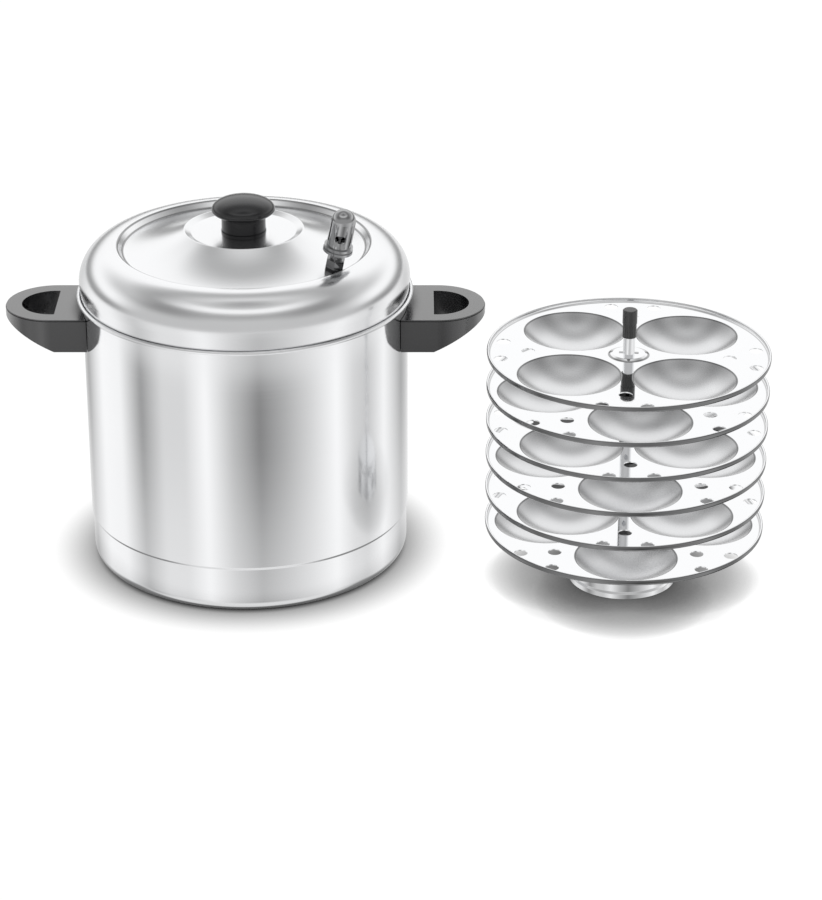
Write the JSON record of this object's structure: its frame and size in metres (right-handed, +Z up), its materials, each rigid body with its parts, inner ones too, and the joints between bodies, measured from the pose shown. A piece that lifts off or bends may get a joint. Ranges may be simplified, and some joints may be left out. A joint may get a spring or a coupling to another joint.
{
  "type": "idli steamer",
  "caption": "Steel steaming pot with a vented, knobbed lid and side handles, beside a rod stand of round cup plates that turn to lock.",
  "frame": {"origin": "centre of the pot's underside, on the surface it stands on", "axes": "+Z up; +X along the handles, from the pot towards the stand; the pictured front faces -Y"},
  "size_m": [0.5376, 0.2716, 0.2765],
  "materials": {
    "pot_steel": "mirror polished stainless steel",
    "lid_steel": "polished stainless steel",
    "plate_steel": "polished plate with satin cups",
    "stand_steel": "polished stainless steel",
    "plain_steel": "plain stainless steel",
    "screw_steel": "plated steel",
    "vent_chrome": "bright chrome",
    "vent_rubber": "matt silicone rubber",
    "handle_bakelite": "moulded bakelite, satin",
    "knob_bakelite": "moulded bakelite, polished",
    "grip_dark": "dark moulded grip with flutes"
  },
  "bodies": {
    "pot": {"pot_body": "pot_steel", "left_handle_bracket": "plain_steel", "right_handle_bracket": "plain_steel", "left_handle": "handle_bakelite", "right_handle": "handle_bakelite", "handle_screws": "screw_steel"},
    "lid": {"lid_shell": "lid_steel", "knob_collar": "knob_bakelite", "knob": "knob_bakelite", "knob_screw": "screw_steel", "knob_washer": "plain_steel", "vent_stem": "vent_chrome", "vent_gasket": "vent_rubber", "vent_nut": "plain_steel"},
    "whistle": {"whistle_weight": "vent_chrome"},
    "stand": {"stand_foot": "stand_steel", "stand_rod": "stand_steel", "plate_lugs": "plain_steel", "stand_grip": "grip_dark", "foot_nut": "plain_steel"},
    "turning_plate_1": {"plate_1": "plate_steel"},
    "turning_plate_2": {"plate_2": "plate_steel"},
    "turning_plate_3": {"plate_3": "plate_steel"},
    "turning_plate_4": {"plate_4": "plate_steel"},
    "turning_plate_5": {"plate_5": "plate_steel"},
    "turning_plate_6": {"plate_6": "plate_steel"}
  },
  "joints": [
    {"name": "lid_lift", "type": "slide", "parent": "pot", "child": "lid", "axis": [0, 0, 1], "range_m": [0, 0.25]},
    {"name": "whistle_lift", "type": "slide", "parent": "lid", "child": "whistle", "axis": [0.1871, -0.1262, 0.9742], "range_m": [0, 0.03]},
    {"name": "stand_lift", "type": "slide", "parent": "pot", "child": "stand", "axis": [0, 0, 1], "range_m": [0, 0.25]},
    {"name": "plate_1_turn", "type": "hinge", "parent": "stand", "child": "turning_plate_1", "pos_m": [0.2688, -0.0539, 0.0422], "axis": [0, 0, 1], "range_deg": [-133.2, 46.8]},
    {"name": "plate_2_turn", "type": "hinge", "parent": "stand", "child": "turning_plate_2", "pos_m": [0.2688, -0.0539, 0.0681], "axis": [0, 0, 1], "range_deg": [-86.7, 93.3]},
    {"name": "plate_3_turn", "type": "hinge", "parent": "stand", "child": "turning_plate_3", "pos_m": [0.2688, -0.0539, 0.094], "axis": [0, 0, 1], "range_deg": [-134.7, 45.3]},
    {"name": "plate_4_turn", "type": "hinge", "parent": "stand", "child": "turning_plate_4", "pos_m": [0.2688, -0.0539, 0.1199], "axis": [0, 0, 1], "range_deg": [-88.5, 91.5]},
    {"name": "plate_5_turn", "type": "hinge", "parent": "stand", "child": "turning_plate_5", "pos_m": [0.2688, -0.0539, 0.1458], "axis": [0, 0, 1], "range_deg": [-140.2, 39.8]},
    {"name": "plate_6_turn", "type": "hinge", "parent": "stand", "child": "turning_plate_6", "pos_m": [0.2688, -0.0539, 0.1717], "axis": [0, 0, 1], "range_deg": [-84.5, 95.5]}
  ]
}
